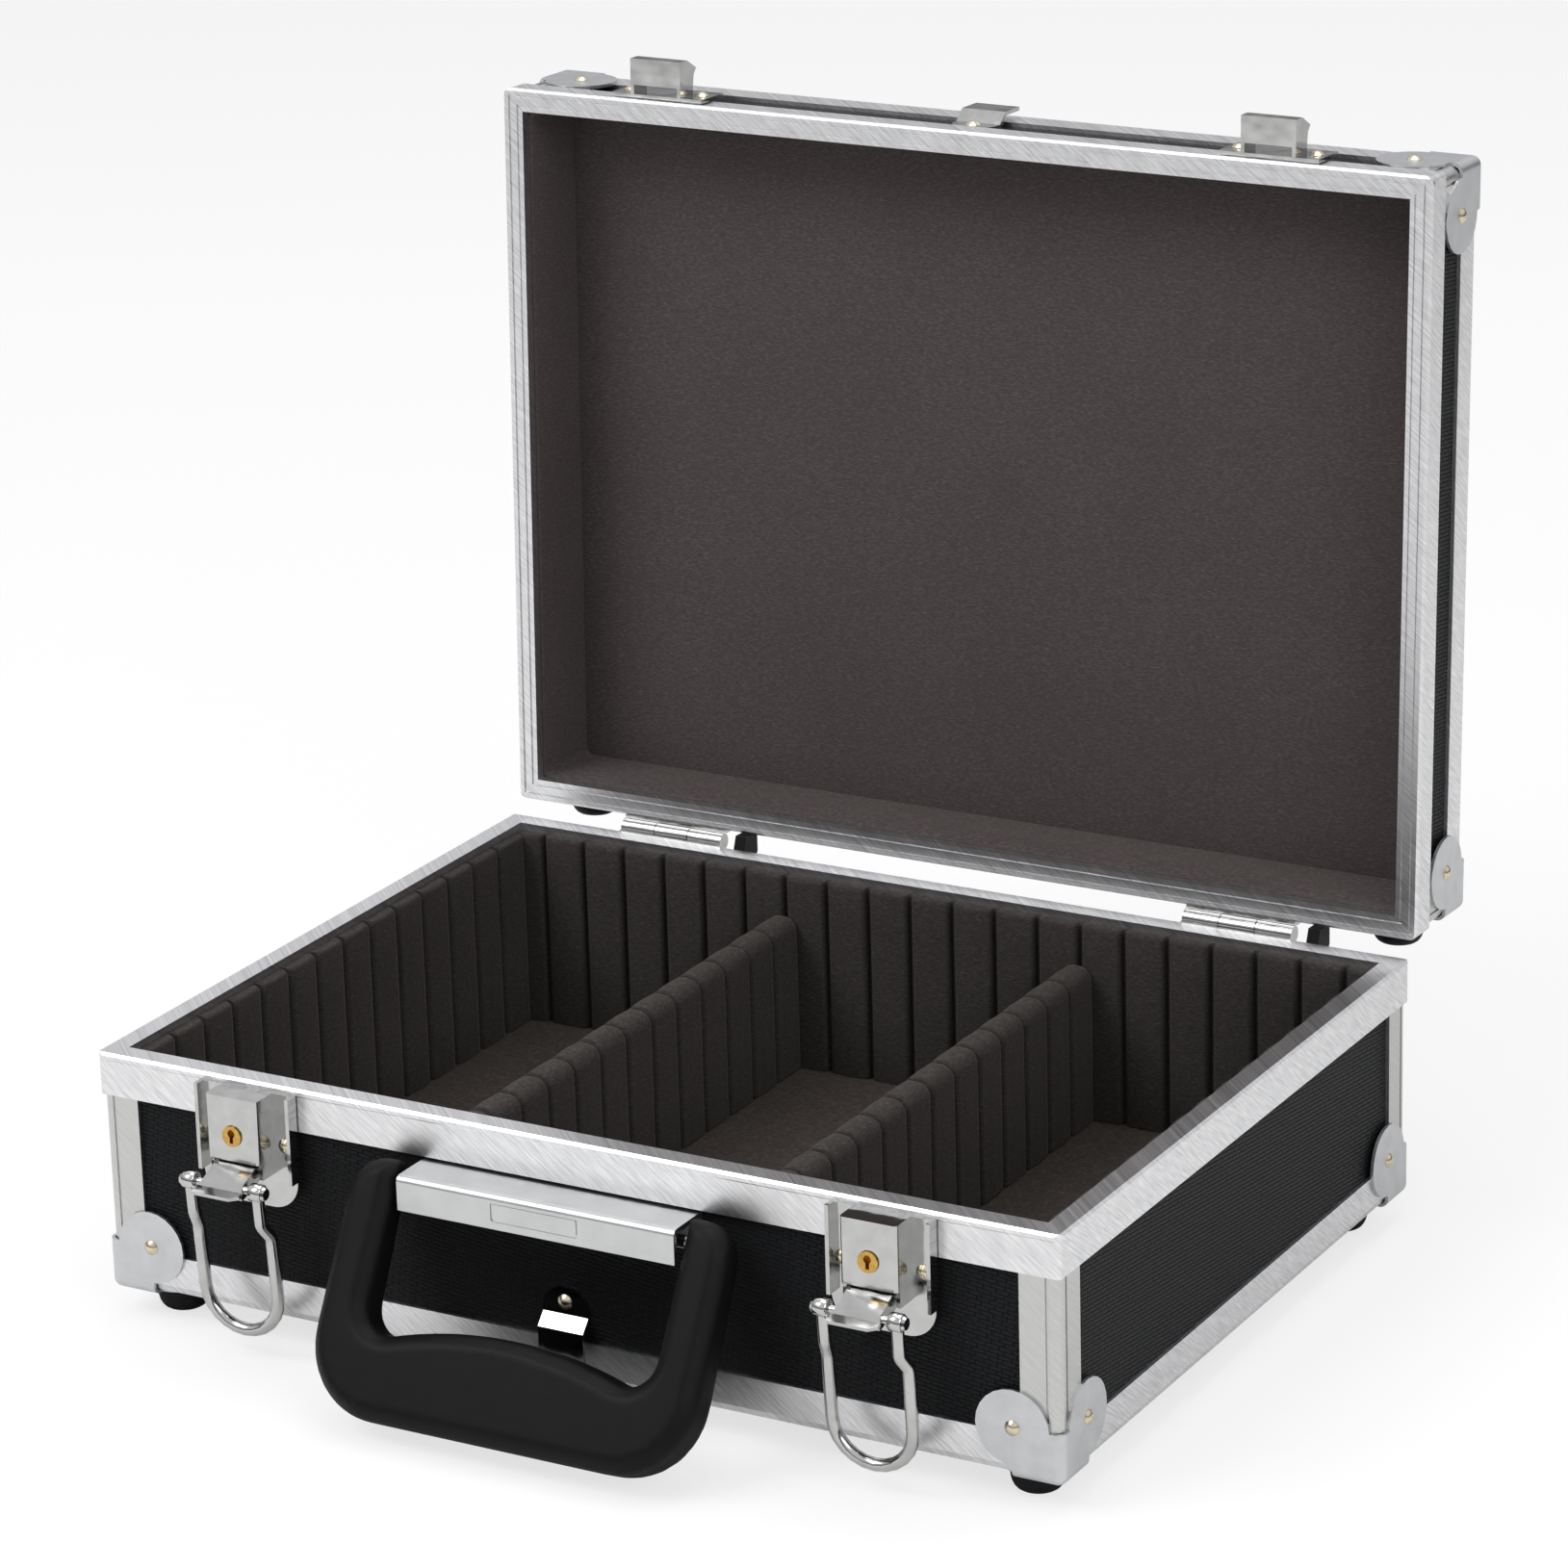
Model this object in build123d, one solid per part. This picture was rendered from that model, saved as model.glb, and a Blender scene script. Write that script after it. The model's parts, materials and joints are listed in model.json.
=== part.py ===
from build123d import *
import math
import os

os.makedirs("parts", exist_ok=True)

# Minidisc flight case: laminated board shell, aluminium edge extrusions, hinged lid, two key
# latches with wire bails, carrying handle and a ribbed lining with two lift-out dividers.
# Millimetres. X runs along the front, Y from front to back, Z up from the floor.
# The case is drawn closed, then the lid is turned back on its hinges to the resting angle.

# overall sizes
case_width = 320.0
case_depth = 236.0
base_height = 75.0
lid_height = 37.0
lid_gap = 0.4
open_angle = 92.0
foot_height = 9.5

# board, lining and extrusions
panel_thickness = 4.0
profile_thickness = 1.2
profile_inset = 1.0
corner_radius = 3.0
rim_height = 13.4
lid_rim_height = 10.6
rim_width = 7.2
rim_lip_height = 3.5
rim_bead = 0.4
rim_bead_height = 2.0
post_leg = 12.5
post_groove_offset = 4.0
post_groove_width = 0.8
post_groove_depth = 0.4
edge_leg = 12.7
edge_radius = 3.0
floor_thickness = 3.0
liner_thickness = 5.0
liner_top_drop = 2.5
liner_clearance = 0.2
rib_pitch = 15.0
groove_width = 1.6
groove_depth = 3.0
lid_lining_thickness = 2.0

# dividers
divider_offset = 3.5 * rib_pitch
divider_thickness = 11.0
divider_top_drop = 15.0
divider_top_radius = 4.5
divider_rib_count = 14
divider_groove_depth = 1.3
divider_edge_chamfer = 0.8
divider_end_clearance = 0.5
divider_tongue_thickness = 1.0
divider_tongue_depth = 2.6

# ball-corner caps, rivets and rubber feet
cap_thickness = 1.0
cap_square = 16.0
cap_disc_radius = 11.5
cap_disc_centre = 15.7
cap_disc_sides = 24
rivet_radius = 2.3
rivet_height = 1.3
rivet_sides = 12
rubber_foot_radius = 8.0
rubber_foot_tip_radius = 5.0
rubber_foot_sides = 20

# hinges and lid stops
hinge_setback = 3.8
hinge_inset = 59.0
hinge_width = 37.0
hinge_barrel_radius = 2.8
hinge_pin_radius = 1.25
hinge_pin_clearance = 0.05
hinge_knuckles = 3
hinge_knuckle_gap = 0.3
hinge_leaf_thickness = 1.4
hinge_leaf_height = 12.0
hinge_relief = 0.3
stop_offset = 26.0
stop_width = 4.0
stop_reach = 9.0
stop_clearance = 0.3

# handle and its bracket
bracket_width = 92.0
bracket_reach = 14.0
bracket_height = 10.5
bracket_sheet = 1.5
bracket_rim_gap = 0.8
bracket_lug_inset = 4.0
bracket_panel_width = 29.0
bracket_panel_height = 6.0
bracket_panel_relief = 0.4
handle_width = 126.0
handle_arm = 15.0
handle_thickness = 18.0
handle_arm_thickness = 13.0
handle_tilt = 28.0
handle_inner = 43.0
handle_hump = 6.0
handle_outer = 68.0
handle_corner = 24.0
handle_window_corner = 9.0
handle_edge = 3.5
handle_end = 7.0
handle_end_corner = 11.0
handle_pin_radius = 2.0
handle_pin_clearance = 0.08
handle_pivot_reach = 8.5
handle_pin_depth = 10.0

# centre clips
clip_width = 15.0
clip_sheet = 1.2
clip_rivet_height = 24.5
clip_tab = 9.0
clip_step = 4.6
clip_fall = 12.5

# latches
latch_inset = 54.5
plate_width = 33.0
plate_height = 36.0
plate_sheet = 1.2
plate_flange = 3.0
plate_corner = 9.0
plate_drop = 2.0
latch_rivet_spacing = 25.6
latch_rivet_drop = 16.0
housing_width = 18.0
housing_height = 20.0
housing_reach = 9.5
housing_ear = 5.0
plug_radius = 3.2
plug_clearance = 0.08
plug_drop = 12.0
plug_proud = 0.6
plug_length = 5.5
key_slot_width = 1.2
key_slot_height = 4.2
key_slot_depth = 2.5
cam_thickness = 1.2
cam_width = 3.0
cam_length = 4.0
lever_width = 14.0
lever_sheet = 1.2
lever_reach = 6.0
lever_drop = 22.5
lever_length = 16.0
lever_tip_width = 17.0
lever_tip_corner = 3.5
lever_face = 2.6
lever_flange = 5.0
lever_open = 64.0
lever_pin_radius = 1.2
pin_clearance = 0.06
bail_arm = 9.6
bail_arm_out = 1.2
bail_pin_radius = 1.2
bail_pin_head = 2.2
bail_pin_head_thickness = 0.9
bail_pin_head_sides = 12
bail_wire_radius = 1.9
bail_wire_sides = 10
bail_length = 50.5
bail_half_width = 12.8
bail_neck_half_width = 11.7
bail_neck = 11.0
bail_jog = 4.5
bail_crank = 2.9
bail_bend_radius = 3.0
bail_eye_radius = 2.7
bail_eye_width = 4.2
bail_tilt = 4.6

# lid catches
catch_width = 18.0
catch_base_width = 33.0
catch_sheet = 1.2
catch_reach = 12.5
catch_start = 3.0
catch_base_length = 14.0
catch_lip_start = 4.2
catch_hook_height = 12.2

# derived places
case_bottom = foot_height
rim_top = case_bottom + base_height
lid_bottom = rim_top + lid_gap
lid_top = lid_bottom + lid_height
half_w = case_width / 2
half_d = case_depth / 2
panel_inset = profile_inset + profile_thickness
lining_inset = panel_inset + panel_thickness
liner_face = lining_inset + liner_thickness
floor_bottom = case_bottom + profile_thickness + panel_thickness
floor_top = floor_bottom + floor_thickness
hinge_y = half_d + hinge_setback
hinge_z = rim_top + lid_gap / 2
hinge_offset = half_w - hinge_inset
latch_offset = half_w - latch_inset
front = -half_d
latch_top = rim_top - plate_drop
pivot_y = front - lever_reach
pivot_z = latch_top - lever_drop
bracket_top = rim_top - rim_height - bracket_rim_gap
handle_y = front - handle_pivot_reach
handle_z = bracket_top - bracket_height / 2


def block(x0, x1, y0, y1, z0, z1):
    """A box between two opposite corners."""
    size = (x1 - x0, y1 - y0, z1 - z0)
    middle = ((x0 + x1) / 2, (y0 + y1) / 2, (z0 + z1) / 2)
    return Pos(*middle) * Box(*size)


def prism(points, direction, length):
    """A flat closed outline of straight edges, pushed along a direction."""
    outline = make_face(Polyline(*points, close=True))
    return extrude(outline, amount=length, dir=direction)


def rod(start, end, radius):
    """A round bar between two points."""
    axis = Vector(*end) - Vector(*start)
    plane = Plane(origin=start, z_dir=axis)
    return extrude(plane * Circle(radius), amount=axis.length)


def group(solids):
    """Separate solids kept together under one name."""
    return Compound([solid for shape in solids for solid in shape.solids()])


def envelope(inset, radius):
    """An upright column with the case's plan, rounded at its four corners."""
    plan = RectangleRounded(case_width - 2 * inset, case_depth - 2 * inset, radius)
    return extrude(plan, amount=400)


def mitre(side):
    """The wedge of plan that one side of a mitred frame fills."""
    over = 5.0
    middle = half_w - half_d
    if side in ("front", "back"):
        s = -1 if side == "front" else 1
        y = s * (half_d + over)
        plan = [(-half_w - over, y, 0), (half_w + over, y, 0), (middle, 0, 0), (-middle, 0, 0)]
    else:
        s = -1 if side == "left" else 1
        x = s * (half_w + over)
        plan = [(x, -half_d - over, 0), (x, half_d + over, 0), (s * middle, 0, 0)]
    return prism(plan, (0, 0, 1), 400)


def extrusion(side, section):
    """One mitred side of a frame; the section is (inset from the face, height) points."""
    if side in ("front", "back"):
        s = -1 if side == "front" else 1
        points = [(-half_w, s * (half_d - inset), z) for inset, z in section]
        bar = prism(points, (1, 0, 0), case_width)
    else:
        s = -1 if side == "left" else 1
        points = [(s * (half_w - inset), -half_d, z) for inset, z in section]
        bar = prism(points, (0, 1, 0), case_depth)
    return bar & mitre(side)


def frame(section, inset, radius):
    """Four mitred extrusions with the outer corners rounded."""
    around = envelope(inset, radius)
    return {side: extrusion(side, section) & around for side in ("front", "back", "left", "right")}


def rim_section(edge, up, leg, grooves):
    """A rim channel: outer leg, mating wall with its grooves, and a short inner lip."""
    wall = profile_thickness
    bead_foot = rim_bead_height + rim_bead
    section = [(rim_bead, edge - up * leg), (rim_bead, edge - up * bead_foot)]
    section += [(0, edge - up * rim_bead_height), (0, edge - up * 0.8), (0.8, edge)]
    for centre in grooves:
        section += [(centre - 0.4, edge), (centre - 0.2, edge - up * 0.5)]
        section += [(centre + 0.2, edge - up * 0.5), (centre + 0.4, edge)]
    section += [(rim_width, edge), (rim_width, edge - up * rim_lip_height)]
    section += [(lining_inset, edge - up * rim_lip_height), (lining_inset, edge - up * wall)]
    section += [(panel_inset, edge - up * wall), (panel_inset, edge - up * leg)]
    return section


def edge_section(level, up):
    """An angle extrusion on a long edge of the shell, its outer corner eased."""
    outer = profile_inset
    inner = panel_inset
    wall = profile_thickness
    ease = edge_radius * (1 - math.sqrt(0.5))
    far = outer + edge_leg
    return [
        (outer, level + up * edge_leg),
        (outer, level + up * edge_radius),
        (outer + ease, level + up * ease),
        (outer + edge_radius, level),
        (far, level),
        (far, level + up * wall),
        (inner, level + up * wall),
        (inner, level + up * edge_leg),
    ]


def corner_posts(bottom, top):
    """Four upright angle extrusions, each with a shallow groove along both legs."""
    around = extrude(Pos(0, 0, bottom) * RectangleRounded(
        case_width - 2 * profile_inset, case_depth - 2 * profile_inset, corner_radius
    ), amount=top - bottom)
    x = half_w - panel_inset
    y = half_d - panel_inset
    shell = around - block(-x, x, -y, y, bottom, top)
    posts = []
    for sx in (-1, 1):
        for sy in (-1, 1):
            x0 = half_w - profile_inset - post_leg
            y0 = half_d - profile_inset - post_leg
            leg = block(
                min(sx * x0, sx * half_w), max(sx * x0, sx * half_w),
                min(sy * y0, sy * half_d), max(sy * y0, sy * half_d), bottom, top,
            )
            post = shell & leg
            gx = half_w - profile_inset - post_groove_offset
            gy = half_d - profile_inset - post_groove_offset
            deep = post_groove_depth
            wide = post_groove_width
            post -= Pos(sx * gx, sy * (half_d - profile_inset), (bottom + top) / 2) * Box(
                wide, 2 * deep, top - bottom
            )
            post -= Pos(sx * (half_w - profile_inset), sy * gy, (bottom + top) / 2) * Box(
                2 * deep, wide, top - bottom
            )
            posts.append(post)
    return group(posts)


def wall_panels(bottom, top):
    """Front and back boards run the full width; the side boards stand between them."""
    x = half_w - panel_inset
    y = half_d - panel_inset
    t = panel_thickness
    return {
        "front": block(-x, x, -y, -y + t, bottom, top),
        "back": block(-x, x, y - t, y, bottom, top),
        "left": block(-x, -x + t, -y + t, y - t, bottom, top),
        "right": block(x - t, x, -y + t, y - t, bottom, top),
    }


def corner_cap():
    """A pressed three-sided cap with its apex at the origin, its sides along +X, +Y and +Z."""
    far = cap_disc_centre + cap_disc_radius + 1
    outer = Pos(far / 2, far / 2, far / 2) * Box(far, far, far)
    apex = Vector(0, 0, 0)
    edges = [e for e in outer.edges() if min((v.center() - apex).length for v in e.vertices()) < 0.1]
    outer = fillet(edges, corner_radius)
    inner = Pos(cap_thickness + far / 2, cap_thickness + far / 2, cap_thickness + far / 2) * Box(
        far, far, far
    )
    apex = Vector(cap_thickness, cap_thickness, cap_thickness)
    edges = [e for e in inner.edges() if min((v.center() - apex).length for v in e.vertices()) < 0.1]
    inner = fillet(edges, corner_radius - cap_thickness)
    shell = outer - inner
    c = cap_disc_centre
    outline = Pos(cap_square / 2, cap_square / 2) * Rectangle(cap_square, cap_square)
    outline += Pos(c, c) * RegularPolygon(cap_disc_radius, cap_disc_sides)
    stamp = extrude(outline, amount=corner_radius)
    on_x = Plane(origin=(0, 0, 0), x_dir=(0, 1, 0), z_dir=(1, 0, 0)) * stamp
    on_y = Plane(origin=(0, 0, 0), x_dir=(0, 0, 1), z_dir=(0, 1, 0)) * stamp
    return shell & (stamp + on_x + on_y)


def placed_cap(cap, sx, sy, level, up):
    """A cap turned to one corner of the case; its three sides are alike."""
    quarter_turns = {(-1, -1): 0, (1, -1): 1, (1, 1): 2, (-1, 1): 3}[sx, sy]
    if up < 0:
        quarter_turns += 1
    turn = Rot(0, 0, 90 * quarter_turns)
    flip = Rot(180, 0, 0) if up < 0 else Rot(0, 0, 0)
    return Pos(sx * half_w, sy * half_d, level) * turn * flip * cap


def turned(outline, sides):
    """A turned form drawn with flat sides; the outline is (height, radius) steps along +Z."""
    rings = [Pos(0, 0, height) * RegularPolygon(radius, sides) for height, radius in outline]
    return loft(rings, ruled=True)


def dome(radius, height):
    """A low domed rivet head standing on its flat face, with its axis along +Z."""
    sphere_radius = (radius**2 + height**2) / (2 * height)
    middle = height * 0.6
    waist = math.sqrt(sphere_radius**2 - (middle + sphere_radius - height) ** 2)
    return turned([(0, radius), (middle, waist), (height, radius * 0.35)], rivet_sides)


def rivet(origin, direction):
    """A rivet head standing on a face at a point."""
    return Plane(origin=origin, z_dir=direction) * dome(rivet_radius, rivet_height)


def rubber_foot(origin, direction, height):
    """A rubber foot, rounded towards its tip, standing on a face at a point."""
    shoulder = height * 0.45
    bend = (height + shoulder) / 2
    fall = rubber_foot_radius - rubber_foot_tip_radius
    outline = [
        (0, rubber_foot_radius), (shoulder, rubber_foot_radius),
        (bend, rubber_foot_radius - fall / 3), (height, rubber_foot_tip_radius),
    ]
    return Plane(origin=origin, z_dir=direction) * turned(outline, rubber_foot_sides)


def ribbed_liner(length, bottom, top, pitch, offset, end_lip):
    """A padded wall lining along X on the plane Y = 0, facing +Y, with upright channels."""
    body = block(-length / 2, length / 2, 0, liner_thickness, bottom, top)
    lip = rim_width - lining_inset + liner_clearance
    under_lip = rim_top - rim_lip_height - liner_clearance
    body -= block(-length, length, -1, lip, under_lip, top + 1)
    if end_lip:
        body &= block(-length, length, -1, liner_thickness + 1, bottom, under_lip) + block(
            -length / 2 + lip, length / 2 - lip, -1, liner_thickness + 1, under_lip, top
        )
    count = int((length / 2 - offset) / pitch) + 1
    places = sorted({s * (offset + k * pitch) for k in range(count) for s in (-1, 1)})
    places = [x for x in places if abs(x) < length / 2 - 2 * groove_width]
    g = groove_width / 2
    face = liner_thickness
    flare = 0.8
    for x in places:
        channel = [
            (x - g - flare, face + 0.1, bottom), (x - g, face - flare, bottom),
            (x - g, face - groove_depth, bottom), (x + g, face - groove_depth, bottom),
            (x + g, face - flare, bottom), (x + g + flare, face + 0.1, bottom),
        ]
        body -= prism(channel, (0, 0, 1), top - bottom)
    return body


def divider(x):
    """A padded divider: ribs with rounded tops round a core, and a tongue at each end."""
    bottom = floor_top + divider_end_clearance
    top = rim_top - divider_top_drop
    length = case_depth - 2 * liner_face - 2 * divider_end_clearance
    pitch = length / divider_rib_count

    def slice_of(inset, depth):
        half = divider_thickness / 2 - inset
        radius = divider_top_radius - inset / 2
        crest = top - inset
        points = [(half, bottom)]
        for degrees in (0, 30, 60, 90):
            turn = math.radians(degrees)
            points.append((half - radius + radius * math.cos(turn), crest - radius + radius * math.sin(turn)))
        points += [(-x, z) for x, z in reversed(points)]
        return prism([(x, -depth / 2, z) for x, z in points], (0, 1, 0), depth)

    core = slice_of(divider_groove_depth, length)
    rib = slice_of(0, pitch - groove_width)
    ends = rib.edges().filter_by(lambda e: abs(e.center().Y) > (pitch - groove_width) / 2 - 0.01)
    ends = [e for e in ends if e.center().Z > bottom + 0.01]
    rib = chamfer(ends, divider_edge_chamfer)
    body = core
    for k in range(divider_rib_count):
        body += Pos(0, (k + 0.5) * pitch - length / 2, 0) * rib
    reach = length / 2 + divider_end_clearance + divider_tongue_depth
    half = divider_tongue_thickness / 2
    body += block(-half, half, -reach, reach, bottom, top - divider_top_radius)
    return Pos(x, 0, 0) * body


def hinge(x):
    """A butt hinge in the closed position: base leaf with its knuckles, lid leaf, and pin."""
    step = hinge_width / hinge_knuckles
    left = x - hinge_width / 2
    right = x + hinge_width / 2
    y0 = half_d
    y1 = half_d + hinge_leaf_thickness
    base_leaf = block(left, right, y0, y1, rim_top - hinge_leaf_height, rim_top)
    lid_leaf = block(left, right, y0, y1, lid_bottom, lid_bottom + lid_rim_height)
    for k in range(hinge_knuckles):
        a = left + k * step + (hinge_knuckle_gap / 2 if k else 0)
        b = left + (k + 1) * step - (hinge_knuckle_gap / 2 if k < hinge_knuckles - 1 else 0)
        barrel = rod((a, hinge_y, hinge_z), (b, hinge_y, hinge_z), hinge_barrel_radius)
        start = left + k * step
        clear = rod(
            (start - hinge_knuckle_gap / 2, hinge_y, hinge_z),
            (start + step + hinge_knuckle_gap / 2, hinge_y, hinge_z),
            hinge_barrel_radius + hinge_relief,
        )
        if k % 2 == 0:
            web = block(a, b, y0, hinge_y, hinge_z - hinge_barrel_radius, hinge_z - 1.0)
            base_leaf += barrel + web
            lid_leaf -= clear
        else:
            web = block(a, b, y0, hinge_y, hinge_z + 1.0, hinge_z + hinge_barrel_radius)
            lid_leaf += barrel + web
            base_leaf -= clear
    hole = rod(
        (left - 1, hinge_y, hinge_z), (right + 1, hinge_y, hinge_z),
        hinge_pin_radius + hinge_pin_clearance,
    )
    pin = rod((left, hinge_y, hinge_z), (right, hinge_y, hinge_z), hinge_pin_radius)
    return base_leaf - hole, lid_leaf - hole, pin


def lid_stop(x):
    """A lug on the back of the base that carries the back of the opened lid."""
    half = stop_width / 2
    top = hinge_z + hinge_setback - stop_clearance
    root = rim_top - rim_height + rim_bead_height
    fall = math.tan(math.radians(open_angle - 90)) * stop_reach
    points = [
        (x - half, half_d, root), (x - half, half_d, rim_top - 1.5),
        (x - half, half_d + 2.0, top), (x - half, half_d + stop_reach, top - fall),
        (x - half, half_d + stop_reach, rim_top - 3.0), (x - half, half_d + 3.0, root),
    ]
    return prism(points, (1, 0, 0), stop_width)


def handle_bracket():
    """A pressed channel that covers the handle's pivots, with a blank embossed panel."""
    half = bracket_width / 2
    y_panel = front + panel_inset
    y_front = front - bracket_reach
    z0 = bracket_top - bracket_height
    body = block(-half, half, y_front, y_panel, z0, bracket_top)
    nose = body.edges().filter_by(Axis.X).group_by(Axis.Y)[0].sort_by(Axis.Z)[-1]
    body = fillet(nose, 2.0)
    s = bracket_sheet
    body -= block(-half - 1, half + 1, y_front + s, y_panel - s, z0 - 1, bracket_top - s)
    lug_x = half - bracket_lug_inset
    for sx in (-1, 1):
        a, b = sorted((sx * (lug_x - s), sx * lug_x))
        body += block(a, b, y_front + s, y_panel - s, z0 + 0.5, bracket_top - s)
    body -= rod((-half, handle_y, handle_z), (half, handle_y, handle_z), handle_pin_radius)
    plate = Plane(origin=(0, y_front, handle_z), x_dir=(1, 0, 0), z_dir=(0, -1, 0))
    ring = RectangleRounded(bracket_panel_width, bracket_panel_height, 1.0)
    ring -= RectangleRounded(bracket_panel_width - 1.2, bracket_panel_height - 1.2, 0.5)
    body -= extrude(plate * ring, amount=-bracket_panel_relief)
    return body


def handle():
    """A moulded bow handle: two arms and a grip with a raised palm swell on its inner side."""
    half = handle_width / 2
    inner = half - handle_arm
    thick = handle_thickness
    thin = handle_arm_thickness
    top = handle_end
    outline = Pos(0, (top - handle_outer) / 2) * Rectangle(2 * half, top + handle_outer)
    low = outline.vertices().group_by(Axis.Y)[0]
    outline = fillet(low, handle_corner)
    high = outline.vertices().group_by(Axis.Y)[-1]
    outline = fillet(high, handle_end_corner)
    reach = top + 20
    window = Pos(0, (reach - handle_inner) / 2) * Rectangle(2 * inner, reach + handle_inner)
    window = fillet(window.vertices().group_by(Axis.Y)[0], handle_window_corner)
    swell_width = 2 * (inner - handle_window_corner)
    sag = handle_hump
    swell_radius = (swell_width**2 / 4 + sag**2) / (2 * sag)
    swell = Pos(0, -handle_inner + sag - swell_radius) * Circle(swell_radius)
    swell &= Pos(0, -handle_inner + sag) * Rectangle(swell_width, 2 * sag)
    window -= swell
    plan = outline - window
    body = extrude(Plane.XZ * plan, amount=thick, both=True)
    side = [
        (-half - 1, -thin / 2, top + 1), (-half - 1, thin / 2, top + 1),
        (-half - 1, thick / 2, -handle_outer - 1), (-half - 1, -thick / 2, -handle_outer - 1),
    ]
    body &= prism(side, (1, 0, 0), 2 * half + 2)
    rims = [e for e in body.edges() if abs(e.center().Y) > thin / 2 - 0.5 and abs(e.tangent_at(0.5).Y) < 0.3]
    return chamfer(rims, handle_edge)


def handle_placed():
    """The handle at rest, hanging on its stop, bored for its two pins."""
    body = handle()
    inner = handle_width / 2 - handle_arm
    for sx in (-1, 1):
        start = (sx * (inner - 1), 0, 0)
        end = (sx * (inner + handle_pin_depth + 0.5), 0, 0)
        body -= rod(start, end, handle_pin_radius + handle_pin_clearance)
    return Pos(0, handle_y, handle_z) * Rot(-handle_tilt, 0, 0) * body


def handle_pins():
    """Two pins riveted in the bracket's lugs, each reaching into an arm of the handle."""
    inner = handle_width / 2 - handle_arm
    start = bracket_width / 2 - bracket_lug_inset - bracket_sheet - 1.0
    end = inner + handle_pin_depth
    pins = []
    for sx in (-1, 1):
        pins.append(rod(
            (sx * start, handle_y, handle_z), (sx * end, handle_y, handle_z), handle_pin_radius
        ))
    return group(pins)


def centre_clip():
    """A chromed clip on the plane Y = 0, facing -Y: round tab, step outwards, and a fall."""
    s = clip_sheet
    half = clip_width / 2
    tab_face = Pos(0, clip_tab / 2) * Rectangle(clip_width, clip_tab)
    tab_face = fillet(tab_face.vertices().group_by(Axis.Y)[-1], half - 0.5)
    tab = extrude(Plane.XZ * tab_face, amount=s)
    section = [
        (-half, 0, 0.6), (-half, -s, 0.6), (-half, -clip_step, -clip_step + 1.5),
        (-half, -clip_step, -clip_fall), (-half, s - clip_step, -clip_fall),
        (-half, s - clip_step, -clip_step + 2.0 - s / 2), (-half, 0, -0.6),
    ]
    return tab + prism(section, (1, 0, 0), clip_width)


def latch_plate():
    """The pressed back plate, its sides turned forward and its lower corners rounded."""
    face = Pos(0, -plate_height / 2) * Rectangle(plate_width, plate_height)
    face = fillet(face.vertices().group_by(Axis.Y)[0], plate_corner)
    solid = extrude(Plane.XZ * face, amount=plate_sheet + plate_flange)
    s = plate_sheet
    hollow = Pos(0, -(plate_height - s) / 2) * Rectangle(plate_width - 2 * s, plate_height - s)
    hollow = fillet(hollow.vertices().group_by(Axis.Y)[0], plate_corner - s)
    hollow = Plane.XZ.offset(s) * hollow
    tray = solid - extrude(hollow, amount=plate_flange)
    low = plate_height - plate_corner
    relief = block(-plate_width, plate_width, -s - plate_flange - 1, -s, -plate_height - 1, -low)
    top_open = block(-plate_width, plate_width, -s - plate_flange - 1, -s, -0.01, 1)
    return tray - relief - top_open


def latch_housing():
    """The lock box: front, top and two cheeks whose ears carry the lever's pivot."""
    half = housing_width / 2
    s = plate_sheet
    body = block(-half, half, -housing_reach, -s, -housing_height, 0)
    corner = body.edges().filter_by(Axis.Z).group_by(Axis.Y)[0]
    body = fillet(corner, 1.2)
    body -= block(-half + s, half - s, -housing_reach + s, -s, -housing_height - 1, -s)
    for sx in (-1, 1):
        a, b = sorted((sx * (half - s), sx * half))
        body += block(a, b, -housing_reach + 1.5, -s, -housing_height - housing_ear, -housing_height)
        body -= rod(
            (a - 1, -lever_reach, -lever_drop), (b + 1, -lever_reach, -lever_drop), lever_pin_radius
        )
    bore = rod(
        (0, -housing_reach - 1, -plug_drop), (0, -housing_reach + s + 1, -plug_drop),
        plug_radius + plug_clearance,
    )
    return body - bore


def key_plug():
    """The lock's turning plug with its key slot."""
    face = -housing_reach - plug_proud
    body = rod((0, face + plug_length, -plug_drop), (0, face, -plug_drop), plug_radius)
    slot = Pos(0, face + key_slot_depth / 2, -plug_drop) * Box(
        key_slot_width, key_slot_depth, key_slot_height
    )
    keyway = rod(
        (0, face - 1, -plug_drop + 0.8), (0, face + key_slot_depth, -plug_drop + 0.8), key_slot_width
    )
    return body - slot - keyway


def key_cam():
    """The cam on the back of the plug that bars the lever when the key is turned."""
    back = -housing_reach - plug_proud + plug_length
    body = rod((0, back, -plug_drop), (0, back + cam_thickness, -plug_drop), cam_width / 2)
    half = cam_width / 2
    return body + block(0, cam_length, back, back + cam_thickness, -plug_drop - half, -plug_drop + half)


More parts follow.
